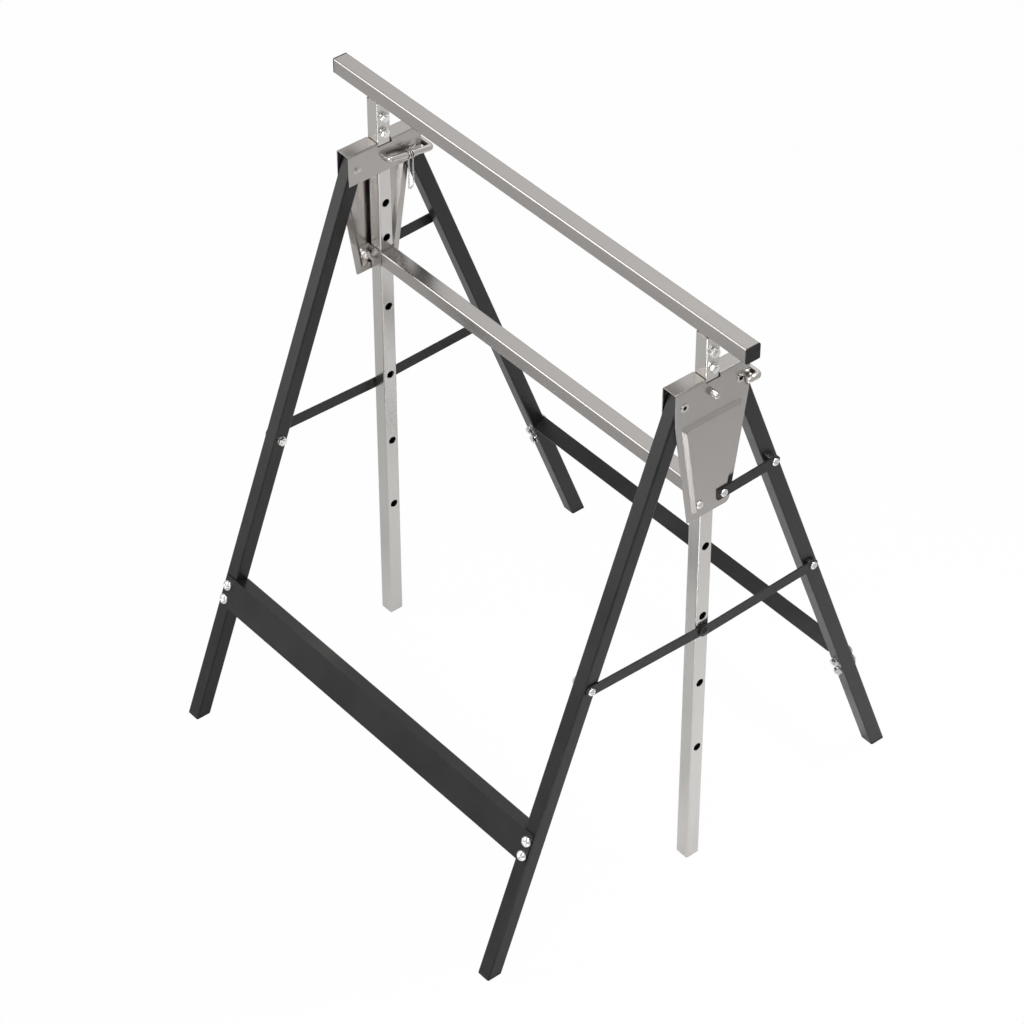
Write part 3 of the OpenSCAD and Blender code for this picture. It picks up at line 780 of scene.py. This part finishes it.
class TRESTLE_OT_heads(bpy.types.Operator):
    """Finish the folded sheet heads, their leg pivots, and the rail with its brackets"""
    bl_idname = "trestle.heads"
    bl_label = "Heads and rail"

    def execute(self, context):
        for side in ("right", "left"):
            edged(f"head_{side}", "steel pressed sheet", HEAD_EDGE, shape=flatter_bevel)
        edged("leg_pivots", "zinc rod", TURNED_EDGE)
        edged("rail", "steel brushed lengthwise", TUBE_EDGE)
        edged("rail_brackets", "steel pressed sheet", BRACKET_EDGE)
        return {"FINISHED"}


class TRESTLE_OT_legs(bpy.types.Operator):
    """Finish the four legs, their foot plugs and the two cross boards"""
    bl_idname = "trestle.legs"
    bl_label = "Legs and boards"

    def execute(self, context):
        for end in ("front", "rear"):
            for side in ("right", "left"):
                edged(f"{end}_leg_{side}", "black powder coat", LEG_EDGE)
            edged(f"{end}_feet", "black plug", FOOT_EDGE)
            edged(f"{end}_board", "black powder coat", BOARD_EDGE)
        return {"FINISHED"}


class TRESTLE_OT_braces(bpy.types.Operator):
    """Finish the folding spreaders and the struts"""
    bl_idname = "trestle.braces"
    bl_label = "Spreaders and struts"

    def execute(self, context):
        for side in ("right", "left"):
            for name in (f"strut_{side}", f"front_link_{side}", f"rear_link_{side}",
                         f"knee_rivet_{side}", f"knee_stub_{side}"):
                edged(name, "black powder coat", BAR_EDGE)
        return {"FINISHED"}


def bolt_places():
    """For each body: its fasteners as (place, direction, grip, head's diameter). Rivets have no grip."""
    f = bpy.context.scene.trestle_fasteners
    small, large = f.head, f.large_head
    lift, fixed, folding = [], [], []
    for s in (1, -1):
        for z in POST_BOLTS:
            lift.append(((s * MID_X - HALF_TUBE, 0, z), (-1, 0, 0), 2 * HALF_TUBE, small))
        for y in (-RAIL_BOLT[0], RAIL_BOLT[0]):
            # The rear bolt holds the strut too
            more = BAR_T if y > 0 else 0
            place = (s * (MID_X + PANEL_OUT + more), y, RAIL_BOLT[1])
            fixed.append((place, (s, 0, 0), RAIL_GRIP + more, small))
        far = PIVOT.y + (PIVOT.z - STRUT_Z) * math.tan(TILT)
        fixed.append(((s * (MID_X + PANEL_OUT + BAR_T), far, STRUT_Z), (s, 0, 0), 0, small))
        far = PIVOT.y + (PIVOT.z - SPREADER_Z) * math.tan(TILT)
        out = HALF_TUBE + 2 * BAR_T + 3 * GAP
        fixed.append(((s * (MID_X + out), far, SPREADER_Z), (s, 0, 0), out + HALF_TUBE, small))
        out = HALF_TUBE + BAR_T + 2 * GAP
        folding.append(((s * (MID_X + out), -far, SPREADER_Z), (s, 0, 0), out + HALF_TUBE, small))
        for up in BOARD_BOLTS:
            for end, body in ((1, fixed), (-1, folding)):
                out = HALF_TUBE + BOARD_T
                y = FOOT_Y - up * math.sin(TILT) + out * math.cos(TILT)
                z = up * math.cos(TILT) + out * math.sin(TILT)
                aim = (0, end * math.cos(TILT), math.sin(TILT))
                body.append(((s * MID_X, end * y, z), aim, 2 * HALF_TUBE + BOARD_T, large))
    return {"lift": lift, "frame": fixed, "front_legs": folding}


class TRESTLE_OT_fasteners(bpy.types.Operator):
    """Make the domed bolts with their nuts and washers, one set for each moving body"""
    bl_idname = "trestle.fasteners"
    bl_label = "Bolts and nuts"

    def execute(self, context):
        f = context.scene.trestle_fasteners
        tree = fasteners_tree()
        head = hidden_part("head_pattern", head_mesh())
        nut = hidden_part("nut_pattern", nut_mesh())
        solids = {"lift": ["post_bolts"], "front_legs": ["front_board_bolts", "front_link_bolts"],
                  "frame": ["rail_bolts", "strut_rivets", "rear_board_bolts", "rear_link_bolts"]}
        for body, places in bolt_places().items():
            mesh = bpy.data.meshes.new(f"fasteners_{body}")
            mesh.from_pydata([p[0] for p in places], [], [])
            mesh.attributes.new("aim", "FLOAT_VECTOR", "POINT")
            for name in ("grip", "size", "turn"):
                mesh.attributes.new(name, "FLOAT", "POINT")
            for k, (_, aim, grip, size) in enumerate(places):
                mesh.attributes["aim"].data[k].vector = aim
                mesh.attributes["grip"].data[k].value = grip
                mesh.attributes["size"].data[k].value = size
                mesh.attributes["turn"].data[k].value = FIRST_TURN + NEXT_TURN * k
            o = grown(added(f"fasteners_{body}", mesh), tree,
                      {"Head": head, "Nut": nut, "Small Head": f.head,
                       "Finish": bpy.data.materials["bright zinc fastener"]})
            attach(o, body)
            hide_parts(*solids[body])
        for o in (head, nut):
            bpy.data.objects.remove(o)
        return {"FINISHED"}


def on_pin(s, x, y, z):
    """A place on the right (s = 1) or left pin, given along its shank, its handle and upwards from it."""
    a = SLOPE[s]
    across = y * math.cos(a) + z * math.sin(a)
    high = PIVOT.z - y * math.sin(a) + z * math.cos(a)
    return Vector((s * (MID_X + x), across, high))


def wire_rings(name, s):
    """The wire rings wound round the handle of the right (s = 1) or left pin, as one coil."""
    coil = bpy.data.curves.new(name, "CURVE")
    coil.dimensions = "3D"
    coil.bevel_depth = RING_WIRE / 2
    coil.bevel_resolution = 3
    coil.use_fill_caps = True
    wire = coil.splines.new("POLY")
    wire.points.add(RING_STEPS)
    r = RING_HOLE + RING_WIRE / 2
    for k in range(RING_STEPS + 1):
        a = 2 * math.pi * RING_TURNS * k / RING_STEPS - math.pi / 2
        along = RINGS_AT + RING_PITCH * RING_TURNS * (k / RING_STEPS - 0.5)
        p = on_pin(s, -PLATE_OUT - STAND_OFF + r * math.cos(a), along, r * math.sin(a))
        wire.points[k].co = (*p, 1)
    return settled(added(name, coil))


class TRESTLE_OT_pins(bpy.types.Operator):
    """Finish the bent locking pins and wind the wire rings round their handles"""
    bl_idname = "trestle.pins"
    bl_label = "Locking pins"

    def execute(self, context):
        edged("spacers", "bright zinc fastener", TURNED_EDGE)
        for side, s in (("right", 1), ("left", -1)):
            edged(f"lock_pin_{side}", "zinc rod", 0)
            o = wire_rings(f"wire_rings_{side}", s)
            o.data.shade_smooth()
            o.data.materials.append(bpy.data.materials["zinc rod"])
            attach(o, f"pin_{side}")
            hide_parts(f"pin_rings_{side}")
        return {"FINISHED"}


def chain_route(slope):
    """The chain's route from below the rear pivot down and up to the rings, x out from the post's middle."""
    ring = RING_HOLE + RING_WIRE
    near = RINGS_AT * math.cos(slope) - ring * math.sin(slope)
    far = PIVOT.y - CHAIN_INSET
    top = PIVOT.z - RINGS_AT * math.sin(slope) - ring * math.cos(slope) - GAP
    low = PIVOT.z - CHAIN_DROP
    middle, r = (far + near) / 2, (far - near) / 2
    half_way = (PIVOT.z + low) / 2
    flat = [(far, PIVOT.z - PIVOT_HEAD - GAP), (far, half_way)]
    for k in range(BEND_POINTS):
        a = BEND_STEP * k
        flat.append((middle + r * math.cos(a), low + r - r * math.sin(a)))
    flat += [(near, half_way), (near, top)]
    # It starts beside the plate, and from the second point to the last but one it moves off to the handle
    start, drift = -PLATE_OUT - GAP - CHAIN_HALF, STAND_OFF - GAP - CHAIN_HALF
    last = len(flat) - 1
    return [(start - drift * max(0, min(1, (k - 1) / (last - 2))), y, z) for k, (y, z) in enumerate(flat)]


def route_line(name, path):
    """A curve of straight stretches through the points of a route."""
    line = bpy.data.curves.new(name, "CURVE")
    line.dimensions = "3D"
    spline = line.splines.new("POLY")
    spline.points.add(len(path) - 1)
    for p, q in zip(spline.points, path):
        p.co = (*q, 1)
    return added(name, line)


class TRESTLE_OT_chains(bpy.types.Operator):
    """Hang the fine chains between the heads and the pins"""
    bl_idname = "trestle.chains"
    bl_label = "Chains"

    def execute(self, context):
        f = context.scene.trestle_fasteners
        finish = bpy.data.materials["bright zinc fastener"]
        tree = chain_tree()
        link = hidden_part("link_pattern", link_mesh())
        for side, s in (("right", 1), ("left", -1)):
            path = [(s * (MID_X + x), y, z) for x, y, z in chain_route(SLOPE[s])]
            o = grown(route_line(f"chain_{side}", path), tree,
                      {"Link": link, "Pitch": f.link_pitch, "Finish": finish})
            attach(o, "frame")
            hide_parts(f"pin_chain_{side}")
        bpy.data.objects.remove(link)
        return {"FINISHED"}


def lay_floor(mirrored):
    """A pale floor that looks white from the camera and keeps a trace of the object's shadow."""
    h = FLOOR_HALF
    mesh = bpy.data.meshes.new("floor")
    mesh.from_pydata([(-h, -h, 0), (h, -h, 0), (h, h, 0), (-h, h, 0)], [], [(0, 1, 2, 3)])
    floor = added("floor", mesh)
    m = bpy.data.materials.new("pale floor")
    m.use_nodes = True
    t = m.node_tree
    t.nodes.clear()
    out = put(t, "ShaderNodeOutputMaterial")
    paper = put(t, "ShaderNodeBsdfDiffuse", Color=FLOOR_PALE)
    glow = put(t, "ShaderNodeEmission", Color=WHITE, Strength=1.0)
    share = put(t, "ShaderNodeMath", operation="MULTIPLY")
    share.inputs[1].default_value = FLOOR_WHITE
    join(t, white_rays(t, mirrored), 0, share, 0)
    mix = put(t, "ShaderNodeMixShader")
    join(t, share, 0, mix, 0)
    join(t, paper, 0, mix, 1)
    join(t, glow, 0, mix, 2)
    join(t, mix, 0, out, "Surface")
    floor.data.materials.append(m)


def light_sky(fill, mirrored):
    """An even light from all round, which the camera sees as white."""
    world = bpy.data.worlds.new("studio")
    bpy.context.scene.world = world
    world.use_nodes = True
    t = world.node_tree
    back = t.nodes["Background"]
    back.inputs["Color"].default_value = WHITE
    level = put(t, "ShaderNodeMapRange")
    level.inputs["To Min"].default_value = fill
    level.inputs["To Max"].default_value = 1.0
    join(t, white_rays(t, mirrored), 0, level, "Value")
    join(t, level, "Result", back, "Strength")


def hang_lamps(key):
    """The soft lamps, each aimed at the point that it lights."""
    for name, place, aim, size, spread, share in LAMPS:
        lamp = bpy.data.lights.new(name, "AREA")
        lamp.shape = "DISK"
        lamp.size = size
        lamp.spread = math.radians(spread)
        lamp.energy = key * share
        o = added(name, lamp)
        o.location = place
        o.rotation_euler = (Vector(aim) - Vector(place)).to_track_quat("-Z", "Y").to_euler()


def set_camera(azimuth, elevation, lens):
    """The camera in the photograph's place."""
    eye = bpy.data.cameras.new("camera")
    eye.lens = lens
    eye.sensor_width = SENSOR
    eye.clip_end = FAR
    o = added("camera", eye)
    o.location = EYE
    o.rotation_euler = (math.pi / 2 - elevation, EYE_ROLL, azimuth)
    bpy.context.scene.camera = o


class TRESTLE_OT_stage(bpy.types.Operator):
    """Set the floor, the lamps, the sky and the camera"""
    bl_idname = "trestle.stage"
    bl_label = "Stage"

    def execute(self, context):
        s = context.scene.trestle_stage
        context.scene.view_settings.view_transform = "Standard"
        lay_floor(s.mirrored)
        light_sky(s.fill, s.mirrored)
        hang_lamps(s.key)
        set_camera(s.azimuth, s.elevation, s.lens)
        return {"FINISHED"}


# Panel

PIECES = (TRESTLE_OT_beam, TRESTLE_OT_posts, TRESTLE_OT_heads, TRESTLE_OT_legs, TRESTLE_OT_braces,
          TRESTLE_OT_fasteners, TRESTLE_OT_pins, TRESTLE_OT_chains, TRESTLE_OT_stage)


class TRESTLE_PT_panel(bpy.types.Panel):
    """Lists the trestle's pieces and their settings"""
    bl_idname = "TRESTLE_PT_panel"
    bl_label = "Trestle"
    bl_space_type = "VIEW_3D"
    bl_region_type = "UI"
    bl_category = "Trestle"

    def draw(self, context):
        for piece in PIECES:
            self.layout.operator(piece.bl_idname)
        scene = context.scene
        for group in (scene.trestle_finish, scene.trestle_fasteners, scene.trestle_stage):
            box = self.layout.box()
            for name in group.__annotations__:
                box.prop(group, name)


CLASSES = (TrestleFinish, TrestleFasteners, TrestleStage, *PIECES, TRESTLE_PT_panel)


def register():
    """Registers the classes and gives the scene their settings."""
    for c in CLASSES:
        bpy.utils.register_class(c)
    bpy.types.Scene.trestle_finish = bpy.props.PointerProperty(type=TrestleFinish)
    bpy.types.Scene.trestle_fasteners = bpy.props.PointerProperty(type=TrestleFasteners)
    bpy.types.Scene.trestle_stage = bpy.props.PointerProperty(type=TrestleStage)


def unregister():
    """Takes the settings and the classes away again."""
    for name in ("trestle_finish", "trestle_fasteners", "trestle_stage"):
        delattr(bpy.types.Scene, name)
    for c in reversed(CLASSES):
        bpy.utils.unregister_class(c)


def main():
    """Dresses the whole trestle."""
    register()
    make_materials()
    bpy.ops.trestle.beam()
    bpy.ops.trestle.posts()
    bpy.ops.trestle.heads()
    bpy.ops.trestle.legs()
    bpy.ops.trestle.braces()
    bpy.ops.trestle.fasteners()
    bpy.ops.trestle.pins()
    bpy.ops.trestle.chains()
    bpy.ops.trestle.stage()


if __name__ == "__main__":
    main()
